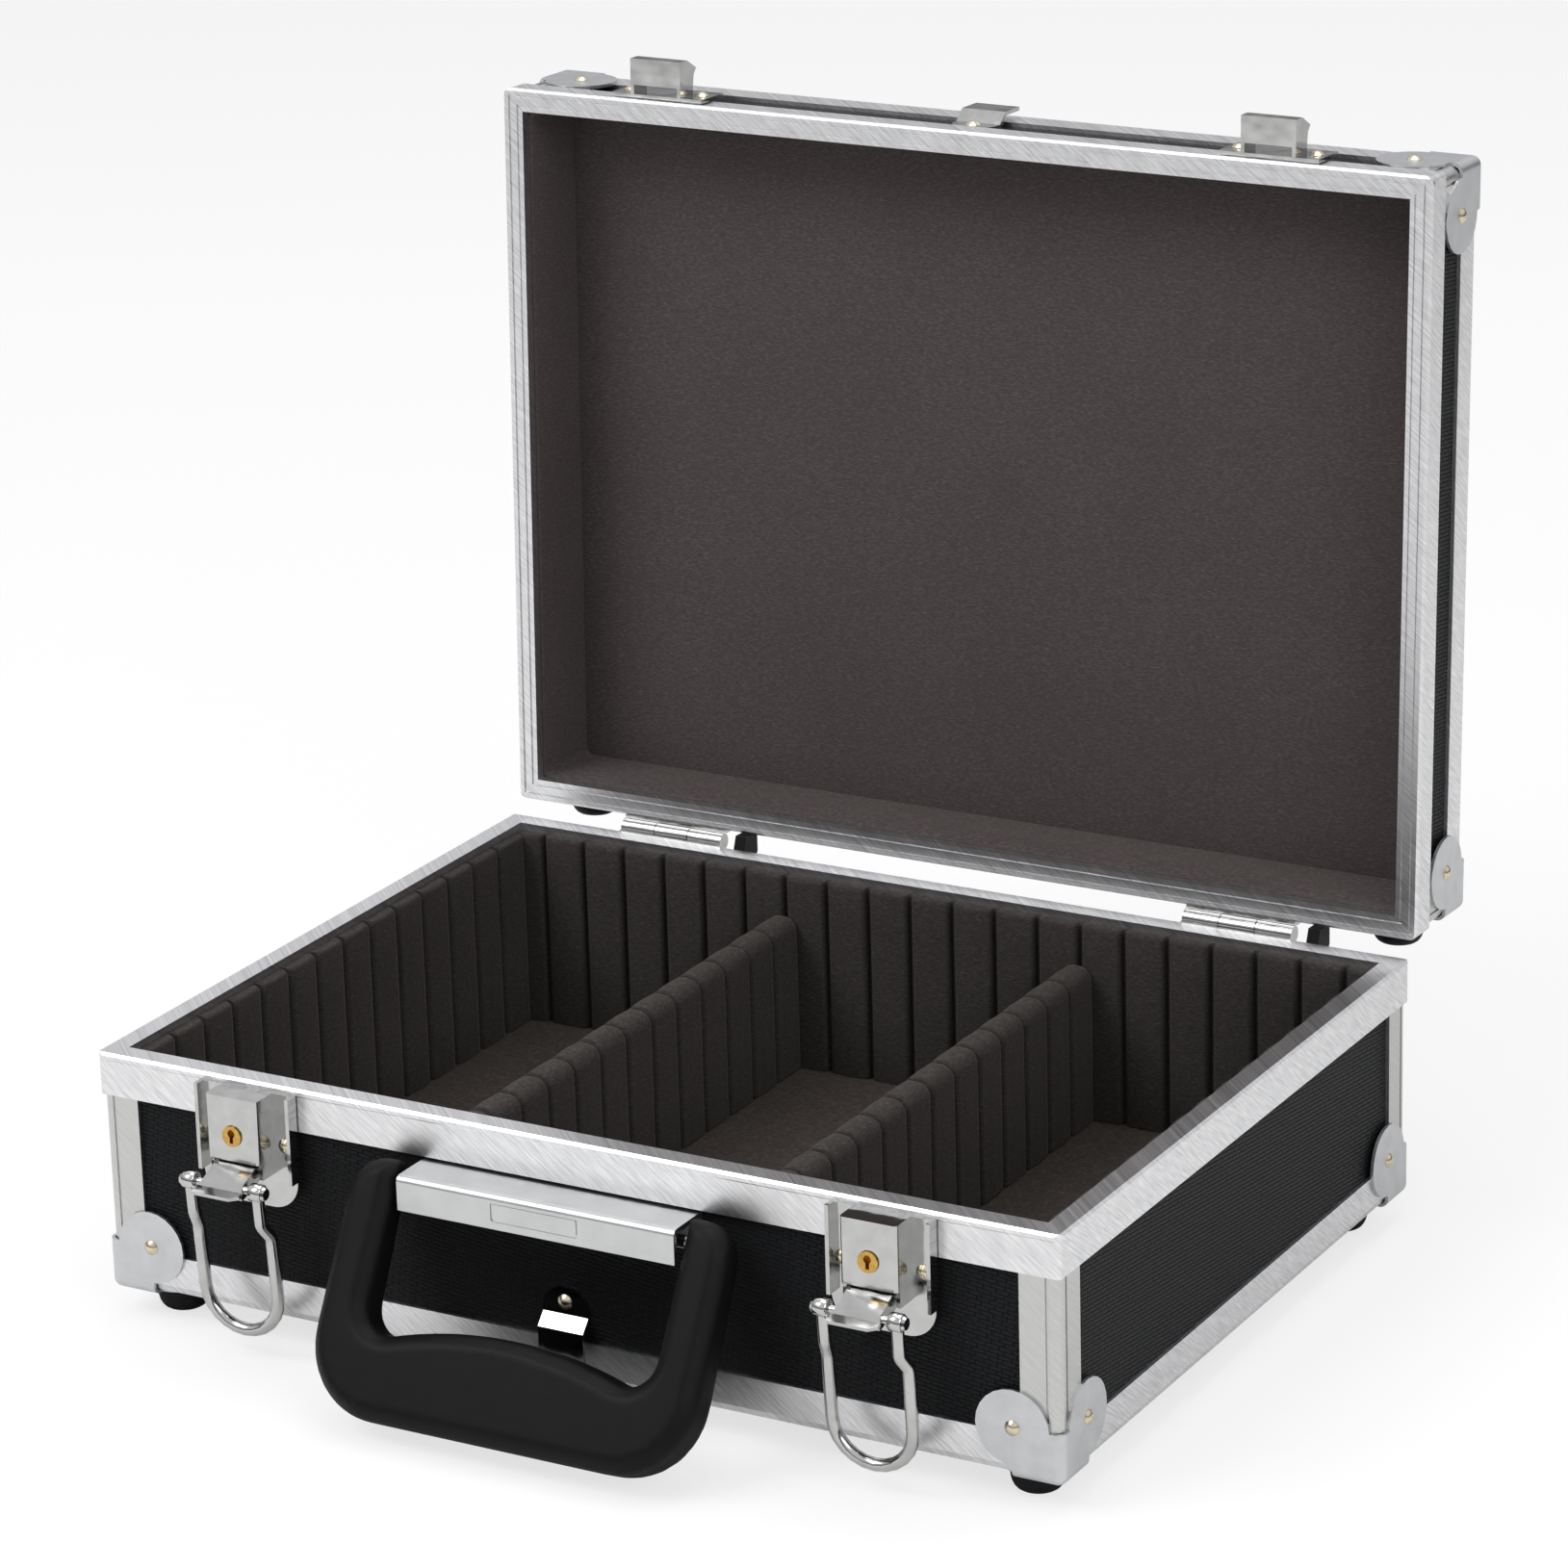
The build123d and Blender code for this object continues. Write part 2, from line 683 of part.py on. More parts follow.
def lever():
    """The lever, drawn shut and hanging from its pivot at the origin."""
    half = lever_width / 2
    tip = lever_tip_width / 2
    s = lever_sheet
    face = -lever_face
    sheet = [
        (-tip, face, 1.0), (-tip, face, -lever_length + 4.0),
        (-tip, face - 1.6, -lever_length), (-tip, face - 1.6 + s, -lever_length - 0.2),
        (-tip, face + s, -lever_length + 3.8), (-tip, face + s, 1.0),
    ]
    plan = make_face(Polyline(
        (-half, 2), (-half, -bail_arm), (-tip, -lever_length + 2.0), (-tip, -lever_length - 1),
        (tip, -lever_length - 1), (tip, -lever_length + 2.0), (half, -bail_arm), (half, 2), close=True,
    ))
    plan = chamfer(plan.vertices().group_by(Axis.Y)[0], lever_tip_corner, lever_tip_corner * 0.8)
    body = prism(sheet, (1, 0, 0), lever_tip_width) & extrude(Plane.XZ * plan, amount=10, both=True)
    cheek = [
        (-half, face + s, 1.0), (-half, face + s, -bail_arm - 2.4),
        (-half, 1.0, -bail_arm - 2.4), (-half, lever_flange + face, -6.0),
        (-half, lever_flange + face, 1.0), (-half, 0.0, 2.2), (-half, face + s, 2.2),
    ]
    left_cheek = prism(cheek, (1, 0, 0), s)
    body += left_cheek + Pos(lever_width - s, 0, 0) * left_cheek
    body -= rod((-half - 1, 0, 0), (half + 1, 0, 0), lever_pin_radius + pin_clearance)
    eye = (-bail_arm_out, -bail_arm)
    body -= rod((-half - 1, *eye), (half + 1, *eye), bail_pin_radius + pin_clearance)
    return body


def bail():
    """The wire bail hanging straight down from its eyes, whose axis is X through the origin."""
    top = bail_neck_half_width
    low = bail_half_width
    end = bail_length - bail_wire_radius
    turn = end - low
    leg = FilletPolyline(
        (top, 0, -1.0), (top, 0, -bail_neck), (low, bail_crank, -bail_neck - bail_jog),
        (low, bail_crank, -turn), radius=bail_bend_radius,
    )
    bow = ThreePointArc((low, bail_crank, -turn), (0, bail_crank, -end), (-low, bail_crank, -turn))
    other = FilletPolyline(
        (-low, bail_crank, -turn), (-low, bail_crank, -bail_neck - bail_jog),
        (-top, 0, -bail_neck), (-top, 0, -1.0), radius=bail_bend_radius,
    )
    path = Wire([leg.edges()[0]] + leg.edges()[1:] + bow.edges() + other.edges())
    section = Plane(origin=(top, 0, -1.0), z_dir=(0, 0, -1)) * RegularPolygon(bail_wire_radius, bail_wire_sides)
    body = sweep(section, path=path)
    half = bail_eye_width / 2
    for sx in (-1, 1):
        body += rod((sx * top - half, 0, 0), (sx * top + half, 0, 0), bail_eye_radius)
    for sx in (-1, 1):
        body -= rod(
            (sx * top - half - 2, 0, 0), (sx * top + half + 2, 0, 0), bail_pin_radius + pin_clearance
        )
    return body


def bail_pin():
    """The pin through the lever and both eyes of the bail, with a head at each end."""
    seat = bail_neck_half_width + bail_eye_width / 2 + 0.1
    end = seat + bail_pin_head_thickness
    body = rod((-end, 0, 0), (end, 0, 0), bail_pin_radius)
    for sx in (-1, 1):
        head = turned([(0, bail_pin_head), (end - seat, bail_pin_head * 0.8)], bail_pin_head_sides)
        body += Plane(origin=(sx * seat, 0, 0), z_dir=(sx, 0, 0)) * head
    return body


def catch():
    """The lid's catch in the closed position: base, two cheeks with a hook, and a front bar."""
    s = catch_sheet
    half = catch_width / 2
    z0 = lid_bottom + catch_start
    base_half = catch_base_width / 2
    body = block(-base_half, base_half, -s, 0, z0, z0 + catch_base_length)
    reach = catch_reach
    hook = lid_bottom + catch_hook_height
    cheek = [
        (-half, -s, z0), (-half, -reach, z0), (-half, -reach, z0 + 4.5), (-half, -9.4, hook + 1.0),
        (-half, -7.6, hook - 0.6), (-half, -3.6, hook - 1.2), (-half, -s, hook - 1.2),
    ]
    left_cheek = prism(cheek, (1, 0, 0), s)
    body += left_cheek + Pos(catch_width - s, 0, 0) * left_cheek
    body += block(-half, half, -reach, -catch_lip_start, z0, z0 + s)
    body += block(-half, half, -reach, -reach + s, z0, z0 + 4.5)
    return body


def at_latch(shape, sx, angle=0.0):
    """A latch piece drawn about the middle, moved to its place on the front of the base."""
    return Pos(sx * latch_offset, front, latch_top) * Rot(angle, 0, 0) * shape


# base shell
base = {}
edge_frame = frame(edge_section(case_bottom, 1), profile_inset, corner_radius)
rim_frame = frame(rim_section(rim_top, 1, rim_height, []), 0, corner_radius)
walls = wall_panels(floor_bottom, rim_top - profile_thickness)
for side in ("front", "back", "left", "right"):
    base[f"base_{side}_panel"] = walls[side]
x = half_w - panel_inset
y = half_d - panel_inset
base["base_bottom_panel"] = block(-x, x, -y, y, case_bottom + profile_thickness, floor_bottom)
base["base_rim"] = group(list(rim_frame.values()))
base["base_bottom_edges"] = group(list(edge_frame.values()))
base["base_corner_posts"] = corner_posts(case_bottom + edge_leg, rim_top - rim_height)

# base lining
inside_x = half_w - lining_inset
inside_y = half_d - lining_inset
base["floor_pad"] = block(
    -inside_x + liner_clearance, inside_x - liner_clearance,
    -inside_y + liner_clearance, inside_y - liner_clearance, floor_bottom, floor_top,
)
liner_top = rim_top - liner_top_drop
long_liner = ribbed_liner(2 * inside_x, floor_top, liner_top, rib_pitch, rib_pitch / 2, True)
side_length = 2 * (half_d - liner_face - liner_clearance)
side_pitch = side_length / divider_rib_count
short_liner = ribbed_liner(side_length, floor_top, liner_top, side_pitch, 0.0, False)
base["liner_front"] = Pos(0, -inside_y, 0) * long_liner
base["liner_back"] = Pos(0, inside_y, 0) * Rot(0, 0, 180) * long_liner
base["liner_left"] = Pos(-inside_x, 0, 0) * Rot(0, 0, -90) * short_liner
base["liner_right"] = Pos(inside_x, 0, 0) * Rot(0, 0, 90) * short_liner

# corner caps, rivets and feet
cap = corner_cap()
c = cap_disc_centre
corners = [(sx, sy) for sx in (-1, 1) for sy in (-1, 1)]
cap_level = case_bottom - cap_thickness
base["base_corner_caps"] = group([placed_cap(cap, sx, sy, cap_level, 1) for sx, sy in corners])
base_rivets = []
base_feet = []
back_feet = []
for sx, sy in corners:
    rivet_z = cap_level + c
    base_rivets.append(rivet((sx * half_w, sy * (half_d - c), rivet_z), (sx, 0, 0)))
    if sy < 0:
        base_rivets.append(rivet((sx * (half_w - c), -half_d, rivet_z), (0, -1, 0)))
    else:
        back_feet.append(
            rubber_foot((sx * (half_w - c), half_d, rivet_z), (0, 1, 0), cap_level)
        )
    base_feet.append(
        rubber_foot((sx * (half_w - c), sy * (half_d - c), cap_level), (0, 0, -1), cap_level)
    )
base["base_corner_rivets"] = group(base_rivets)
base["base_feet"] = group(base_feet + back_feet)

# handle hardware
base["handle_bracket"] = handle_bracket()
base["handle_pins"] = handle_pins()
clip_z = case_bottom + clip_rivet_height
base["handle_rest"] = Pos(0, front + panel_inset, clip_z - clip_tab / 2) * centre_clip()
front_rivets = [rivet((0, front + panel_inset - clip_sheet, clip_z), (0, -1, 0))]

# latches on the base
lever_pins = []
for sx, side in ((-1, "left"), (1, "right")):
    base[f"latch_{side}_plate"] = at_latch(latch_plate(), sx)
    base[f"latch_{side}_housing"] = at_latch(latch_housing(), sx)
    lever_pins.append(rod(
        (sx * latch_offset - housing_width / 2, pivot_y, pivot_z),
        (sx * latch_offset + housing_width / 2, pivot_y, pivot_z), lever_pin_radius,
    ))
    for rx in (-1, 1):
        where = sx * latch_offset + rx * latch_rivet_spacing / 2
        front_rivets.append(
            rivet((where, front - plate_sheet, latch_top - latch_rivet_drop), (0, -1, 0))
        )
base["latch_lever_pins"] = group(lever_pins)
base["front_rivets"] = group(front_rivets)

# hinges and lid stops
hinge_parts = {side: hinge(sx * hinge_offset) for sx, side in ((-1, "left"), (1, "right"))}
for side in ("left", "right"):
    base[f"hinge_{side}_base_leaf"] = hinge_parts[side][0]
base["hinge_pins"] = group([hinge_parts[side][2] for side in ("left", "right")])
base["lid_stops"] = group([lid_stop(sx * hinge_offset + stop_offset) for sx in (-1, 1)])

# lid, drawn closed
lid = {}
lid_walls = wall_panels(lid_bottom + profile_thickness, lid_top - profile_thickness - panel_thickness)
for side in ("front", "back", "left", "right"):
    lid[f"lid_{side}_panel"] = lid_walls[side]
lid["lid_top_panel"] = block(
    -x, x, -y, y, lid_top - profile_thickness - panel_thickness, lid_top - profile_thickness
)
lid_rim_frame = frame(rim_section(lid_bottom, -1, lid_rim_height, [2.4, 5.4]), 0, corner_radius)
lid["lid_rim"] = group(list(lid_rim_frame.values()))
lid_edge_frame = frame(edge_section(lid_top, -1), profile_inset, corner_radius)
lid["lid_top_edges"] = group(list(lid_edge_frame.values()))
lid["lid_corner_posts"] = corner_posts(lid_bottom + lid_rim_height, lid_top - edge_leg)
ceiling = lid_top - profile_thickness - panel_thickness
lid["lid_top_lining"] = block(
    -inside_x + liner_clearance, inside_x - liner_clearance, -inside_y + liner_clearance,
    inside_y - liner_clearance, ceiling - lid_lining_thickness, ceiling,
)
lining_bottom = lid_bottom + rim_lip_height + liner_clearance
lining_top = ceiling - lid_lining_thickness
t = lid_lining_thickness
wall_lining = block(-inside_x, inside_x, -inside_y, inside_y, lining_bottom, lining_top)
wall_lining -= block(
    -inside_x + t, inside_x - t, -inside_y + t, inside_y - t, lining_bottom - 1, lining_top + 1
)
lid["lid_wall_lining"] = wall_lining
lid_cap_level = lid_top + cap_thickness
lid["lid_corner_caps"] = group([placed_cap(cap, sx, sy, lid_cap_level, -1) for sx, sy in corners])
lid_rivets = []
lid_feet = []
for sx, sy in corners:
    rivet_z = lid_cap_level - c
    lid_rivets.append(rivet((sx * half_w, sy * (half_d - c), rivet_z), (sx, 0, 0)))
    lid_rivets.append(rivet((sx * (half_w - c), sy * (half_d - c), lid_cap_level), (0, 0, 1)))
    if sy < 0:
        lid_rivets.append(rivet((sx * (half_w - c), -half_d, rivet_z), (0, -1, 0)))
    else:
        lid_feet.append(rubber_foot((sx * (half_w - c), half_d, rivet_z), (0, 1, 0), cap_level))
lid["lid_corner_rivets"] = group(lid_rivets)
lid["lid_back_feet"] = group(lid_feet)
catch_rivets = []
for sx, side in ((-1, "left"), (1, "right")):
    lid[f"catch_{side}"] = Pos(sx * latch_offset, front, 0) * catch()
    for rx in (-1, 1):
        where = sx * latch_offset + rx * latch_rivet_spacing / 2
        middle = lid_bottom + catch_start + catch_base_length / 2
        catch_rivets.append(rivet((where, front - catch_sheet, middle), (0, -1, 0)))
lid_clip_z = lid_bottom + lid_rim_height + clip_tab + 0.3
lid["lid_clip"] = Pos(0, front + panel_inset, lid_clip_z) * Rot(0, 180, 0) * centre_clip()
catch_rivets.append(
    rivet((0, front + panel_inset - clip_sheet, lid_clip_z - clip_tab / 2), (0, -1, 0))
)
lid["lid_front_rivets"] = group(catch_rivets)
for side in ("left", "right"):
    lid[f"hinge_{side}_lid_leaf"] = hinge_parts[side][1]

# the opened lid
hinge_axis = Axis((0, hinge_y, hinge_z), (1, 0, 0))
for name in lid:
    lid[name] = lid[name].rotate(hinge_axis, -open_angle)

# moving pieces on the base
moving = {"handle": {"handle": handle_placed()}}
opened = math.radians(lever_open)
for sx, side in ((-1, "left"), (1, "right")):
    pivot = Pos(sx * latch_offset, pivot_y, pivot_z)
    eye = pivot * Rot(-lever_open, 0, 0) * Pos(0, -bail_arm_out, -bail_arm)
    eye_point = Pos(*eye.position)
    moving[f"latch_{side}_lever"] = {f"latch_{side}_lever": pivot * Rot(-lever_open, 0, 0) * lever()}
    moving[f"latch_{side}_bail_pin"] = {f"latch_{side}_bail_pin": eye_point * bail_pin()}
    moving[f"latch_{side}_bail"] = {f"latch_{side}_bail": eye_point * Rot(bail_tilt, 0, 0) * bail()}
    moving[f"latch_{side}_plug"] = {
        f"latch_{side}_plug": group([at_latch(key_plug(), sx), at_latch(key_cam(), sx)]),
    }
    moving[f"divider_{side}"] = {f"divider_{side}": divider(sx * divider_offset)}

# every piece, with the origin under the middle of the whole opened case
assemblies = {"base": base, "lid": lid, **moving}
boxes = [shape.bounding_box() for pieces in assemblies.values() for shape in pieces.values()]
shift_x = -(min(box.min.X for box in boxes) + max(box.max.X for box in boxes)) / 2
shift_y = -(min(box.min.Y for box in boxes) + max(box.max.Y for box in boxes)) / 2
for pieces in assemblies.values():
    for name in pieces:
        pieces[name] = Pos(shift_x, shift_y, 0) * pieces[name]
        export_step(pieces[name], f"parts/{name}.step")
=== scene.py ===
import json
import math

import bmesh
import bpy
from mathutils import Matrix, Vector, noise


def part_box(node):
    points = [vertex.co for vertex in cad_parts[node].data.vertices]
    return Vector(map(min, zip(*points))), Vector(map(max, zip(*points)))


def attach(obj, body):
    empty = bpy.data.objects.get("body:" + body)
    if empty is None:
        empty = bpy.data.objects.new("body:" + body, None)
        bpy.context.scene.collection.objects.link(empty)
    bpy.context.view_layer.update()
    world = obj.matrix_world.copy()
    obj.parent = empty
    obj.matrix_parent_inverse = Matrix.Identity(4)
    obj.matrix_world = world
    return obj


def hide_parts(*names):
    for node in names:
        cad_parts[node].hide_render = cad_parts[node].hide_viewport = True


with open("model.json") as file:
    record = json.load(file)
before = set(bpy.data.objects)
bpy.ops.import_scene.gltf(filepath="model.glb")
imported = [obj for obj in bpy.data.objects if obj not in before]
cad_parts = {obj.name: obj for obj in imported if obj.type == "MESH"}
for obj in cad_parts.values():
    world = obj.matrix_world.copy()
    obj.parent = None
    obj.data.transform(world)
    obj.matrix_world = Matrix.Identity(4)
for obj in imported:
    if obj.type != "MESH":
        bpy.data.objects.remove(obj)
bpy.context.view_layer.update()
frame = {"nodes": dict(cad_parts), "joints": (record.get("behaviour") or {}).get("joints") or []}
nodes = frame["nodes"]
joints = {joint["name"]: joint for joint in frame["joints"]}
mm = 0.001

# camera, fitted to the corners of the case in the photograph
view_turn = math.radians(-29.79)
view_fall = math.radians(-18.93)
view_roll = math.radians(-1.64)
focal_length = 138.6
camera_place = Vector((0.8479, -1.4656, 0.7342))

# the lid's hinge line and opening angle, as the joint gives them
hinge_place = Vector(joints["lid_hinge"]["pos_m"])
lid_angle = math.radians(joints["lid_hinge"]["range_deg"][0])
open_lid = (
    Matrix.Translation(hinge_place) @ Matrix.Rotation(lid_angle, 4, "X")
    @ Matrix.Translation(-hinge_place)
)
shut_lid = open_lid.inverted()

# felt lining
rib_pitch = 15.0 * mm
groove_half = 0.8 * mm
groove_depth = 3.0 * mm
rib_count = 14
divider_groove = 1.3 * mm
divider_crest_radius = 4.5 * mm
felt_crown = 0.35 * mm

# turned and wire parts
rivet_segments = 28
foot_segments = 48
eye_segments = 28
wire_sides = 20
wire_radius = 1.9 * mm
bail_length = 50.5 * mm
bail_half_width = 12.8 * mm
bail_neck_half_width = 11.7 * mm
bail_neck = 11.0 * mm
bail_jog = 4.5 * mm
bail_crank = 2.9 * mm
bail_tilt = math.radians(4.6)
bail_eye_radius = 2.7 * mm
bail_eye_half = 2.1 * mm
bail_pin_hole = 1.25 * mm


def linear(code):
    """An sRGB hex colour as the linear values that a shader takes."""
    values = [int(code[i:i + 2], 16) / 255 for i in (1, 3, 5)]
    out = [v / 12.92 if v <= 0.04045 else ((v + 0.055) / 1.055) ** 2.4 for v in values]
    return (*out, 1.0)


def add(tree, kind, settings=None, inputs=None):
    """Add a node; settings are its properties, inputs are values or the outputs linked to it."""
    node = tree.nodes.new(kind)
    for name, value in (settings or {}).items():
        setattr(node, name, value)
    for name, value in (inputs or {}).items():
        if isinstance(value, bpy.types.NodeSocket):
            tree.links.new(value, node.inputs[name])
        else:
            node.inputs[name].default_value = value
    return node


def surface(name, **values):
    """A new material with one principled shader, and that shader's constant values."""
    material = bpy.data.materials.new(name)
    material.use_nodes = True
    tree = material.node_tree
    shader = tree.nodes["Principled BSDF"]
    for socket, value in values.items():
        shader.inputs[socket.replace("_", " ")].default_value = value
    return material, tree, shader


def noise_of(tree, vector, grain, detail=2.0):
    """Noise whose grain has a real size in metres."""
    node = add(tree, "ShaderNodeTexNoise", None, {"Vector": vector, "Scale": 1 / grain, "Detail": detail})
    return node.outputs["Fac"]


def ranged(tree, value, low, high):
    """A 0 to 1 value brought to another range."""
    node = add(tree, "ShaderNodeMapRange", None, {"Value": value, "To Min": low, "To Max": high})
    return node.outputs["Result"]


def colour_by(tree, shader, value, low, high):
    """The shader's colour, from a low tone to a high tone as the value goes from 0 to 1."""
    tones = add(tree, "ShaderNodeMix", {"data_type": "RGBA"}, {0: value, 6: linear(low), 7: linear(high)})
    tree.links.new(tones.outputs[2], shader.inputs["Base Color"])


def dull_by(tree, shader, value, low, high):
    """The shader's roughness, from low to high as the value goes from 0 to 1."""
    tree.links.new(ranged(tree, value, low, high), shader.inputs["Roughness"])


def relief(tree, shader, height, depth, strength):
    """Bump of a real depth in metres."""
    bump = add(tree, "ShaderNodeBump", None, {"Strength": strength, "Distance": depth, "Height": height})
    tree.links.new(bump.outputs["Normal"], shader.inputs["Normal"])


def grained(name, clouds, grain, dulling, bump, **values):
    """A material of two tones in soft clouds, its roughness and its bump from one finer grain.

    clouds is a size and two tones; grain is a size and its detail; dulling is the least and most
    roughness; bump is a depth and a strength. The last three may be None."""
    material, tree, shader = surface(name, **values)
    place = add(tree, "ShaderNodeTexCoord").outputs["Object"]
    cloud_size, low, high = clouds
    colour_by(tree, shader, noise_of(tree, place, cloud_size, 3.0), low, high)
    if grain:
        fine = noise_of(tree, place, *grain)
        dull_by(tree, shader, fine, *dulling)
        if bump:
            relief(tree, shader, fine, *bump)
    return material


def axes_pair(tree, along, across):
    """Object coordinates laid out flat: two of the three axes, or the sum of X and Y."""
    place = add(tree, "ShaderNodeTexCoord")
    split = add(tree, "ShaderNodeSeparateXYZ", None, {0: place.outputs["Object"]})
    parts = {axis: split.outputs[axis] for axis in "XYZ"}
    total = add(tree, "ShaderNodeMath", {"operation": "ADD"}, {0: parts["X"], 1: parts["Y"]})
    parts["XY"] = total.outputs[0]
    return add(tree, "ShaderNodeCombineXYZ", None, {"X": parts[along], "Y": parts[across]}).outputs[0]


def embossed_laminate(name, along, across):
    """Black ABS laminate rolled with short raised dashes in staggered rows: black, with the raised dashes
    painted a lighter bluish grey as a painted highlight for the glint they catch.

    The dashes are drawn about half as coarse again as the real ones, so that they show."""
    material, tree, shader = surface(name, Specular_IOR_Level=0.07)
    dash_length = 4.2 * mm
    row_pitch = 1.3 * mm
    row_gap = 0.3 * mm
    emboss_depth = 0.3 * mm
    stagger = 0.37
    slant = math.radians(7)
    flat = axes_pair(tree, along, across)
    skew = add(tree, "ShaderNodeMapping", None, {"Vector": flat, "Rotation": (0, 0, slant)})
    dashes = add(tree, "ShaderNodeTexBrick", {"offset": stagger}, {
        "Vector": skew.outputs[0], "Scale": 1.0, "Brick Width": dash_length,
        "Row Height": row_pitch, "Mortar Size": row_gap, "Mortar Smooth": 1.0,
        "Color1": (1, 1, 1, 1), "Color2": (0.75, 0.75, 0.75, 1), "Mortar": (0, 0, 0, 1),
    })
    # painted highlight: the raised dashes are coloured a lighter bluish grey than the black ground,
    # standing in for the glint on their edges
    colour_by(tree, shader, dashes.outputs["Color"], "#070707", "#1b1c1e")
    dull_by(tree, shader, dashes.outputs["Fac"], 0.38, 0.6)
    relief(tree, shader, dashes.outputs["Color"], emboss_depth, 1.0)
    return material


def brushed_aluminium(name, low, high, depth):
    """Extruded aluminium, belt brushed on the slant and clear anodised: bright, with slanting streaks."""
    material, tree, shader = surface(name, Metallic=1.0)
    streak_length = 9.0 * mm
    streak_width = 0.7 * mm
    brush_slant = math.radians(38)
    flat = axes_pair(tree, "XY", "Z")
    turned = add(tree, "ShaderNodeMapping", None, {"Vector": flat, "Rotation": (0, 0, brush_slant)})
    stretched = add(tree, "ShaderNodeMapping", None, {
        "Vector": turned.outputs[0], "Scale": (1 / streak_length, 1 / streak_width, 1),
    })
    streaks = add(tree, "ShaderNodeTexNoise", None, {
        "Vector": stretched.outputs[0], "Scale": 1.0, "Detail": 3.0, "Roughness": 0.6,
    }).outputs["Fac"]
    colour_by(tree, shader, ranged(tree, streaks, -0.35, 1.35), low, high)
    dull_by(tree, shader, streaks, 0.26, 0.44)
    relief(tree, shader, streaks, depth, 0.6)
    return material


def needle_felt(name, low, high):
    """Short needled felt: warm dark grey, with crossed fine fibres and no shine but a soft sheen."""
    material, tree, shader = surface(
        name, Roughness=1.0, Specular_IOR_Level=0.1, Sheen_Weight=0.35, Sheen_Roughness=0.5,
        Sheen_Tint=linear("#8a827e"),
    )
    place = add(tree, "ShaderNodeTexCoord").outputs["Object"]
    fibre_length = 1.6 * mm
    fibre_width = 0.45 * mm
    cloud_size = 40 * mm
    pile_depth = 0.3 * mm
    layers = []
    for turn in (math.radians(35), math.radians(-50)):
        mapped = add(tree, "ShaderNodeMapping", None, {
            "Vector": place, "Rotation": (turn, turn, 0),
            "Scale": (1 / fibre_length, 1 / fibre_length, 1 / fibre_width),
        })
        layers.append(add(tree, "ShaderNodeTexNoise", None, {
            "Vector": mapped.outputs[0], "Scale": 1.0, "Detail": 2.0, "Roughness": 0.7,
        }).outputs["Fac"])
    crossed = add(tree, "ShaderNodeMath", {"operation": "MULTIPLY"}, {0: layers[0], 1: layers[1]})
    pile = crossed.outputs[0]
    clouds = noise_of(tree, place, cloud_size)
    both = add(tree, "ShaderNodeMath", {"operation": "ADD"}, {
        0: ranged(tree, pile, -0.6, 2.6), 1: ranged(tree, clouds, -0.15, 0.15),
    })
    colour_by(tree, shader, both.outputs[0], low, high)
    relief(tree, shader, pile, pile_depth, 0.5)
    return material


laminate_long = embossed_laminate("embossed_abs_laminate_front", "X", "Z")
laminate_side = embossed_laminate("embossed_abs_laminate_side", "Y", "Z")
laminate_flat = embossed_laminate("embossed_abs_laminate_flat", "X", "Y")
rim_aluminium = brushed_aluminium("brushed_aluminium_rim", "#b8b8ba", "#f2f2f3", 0.07 * mm)
post_aluminium = brushed_aluminium("satin_aluminium_post", "#b4b4b2", "#c8c8c6", 0.02 * mm)

# pressed steel caps, nickel plated and dulled: an even soft grey with faint clouding
cap_steel = grained(
    "satin_nickel_steel", (6 * mm, "#b4b6b8", "#cfd0d1"), (0.5 * mm, 2.0), (0.3, 0.46),
    (0.02 * mm, 0.5), Metallic=1.0,
)
# the handle's pressed bracket, of aluminium sheet: a fine even matt finish
bracket_metal = grained(
    "satin_aluminium_sheet", (9 * mm, "#b6b8b8", "#cbcccc"), (0.6 * mm, 2.0), (0.24, 0.38),
    None, Metallic=1.0,
)
# chrome plate on pressed steel: mirror bright, its sheet a little uneven
chrome = grained(
    "chrome_plate", (5 * mm, "#a6a7a6", "#c3c3c1"), (7 * mm, 1.0), (0.06, 0.16),
    (0.5 * mm, 0.35), Metallic=1.0,
)
# nickelled rivets: small warm bright domes
rivet_nickel = grained(
    "nickelled_rivet", (1.5 * mm, "#bcae90", "#ded4bf"), (0.7 * mm, 2.0), (0.15, 0.3),
    None, Metallic=1.0,
)
# turned brass of the lock plug: yellow, mottled in fine grain
brass = grained(
    "turned_brass", (1.2 * mm, "#9b7330", "#d9b368"), None, None, None, Metallic=1.0, Roughness=0.25,
)
# injection moulded PVC with a spark-eroded grain: black with a broad soft sheen
handle_plastic = grained(
    "moulded_pvc", (4 * mm, "#070708", "#0e0e0f"), (0.7 * mm, 2.0), (0.42, 0.58),
    (0.04 * mm, 0.6), Specular_IOR_Level=0.12,
)
# moulded rubber of the feet: dull black with a slight bloom
rubber = grained(
    "moulded_rubber", (3 * mm, "#0c0c0c", "#181818"), None, None, None,
    Roughness=0.7, Specular_IOR_Level=0.2,
)
# one needle felt made three times: the floor copy and the lid copy are painted lighter than the wall and
# divider felt, as painted light on faces that turn up and toward the lamps
felt = needle_felt("needle_felt_lining", "#312e2d", "#4a4744")
lid_felt = needle_felt("needle_felt_lid", "#453e3e", "#5d5656")
floor_felt = needle_felt("needle_felt_floor", "#37322f", "#514a47")


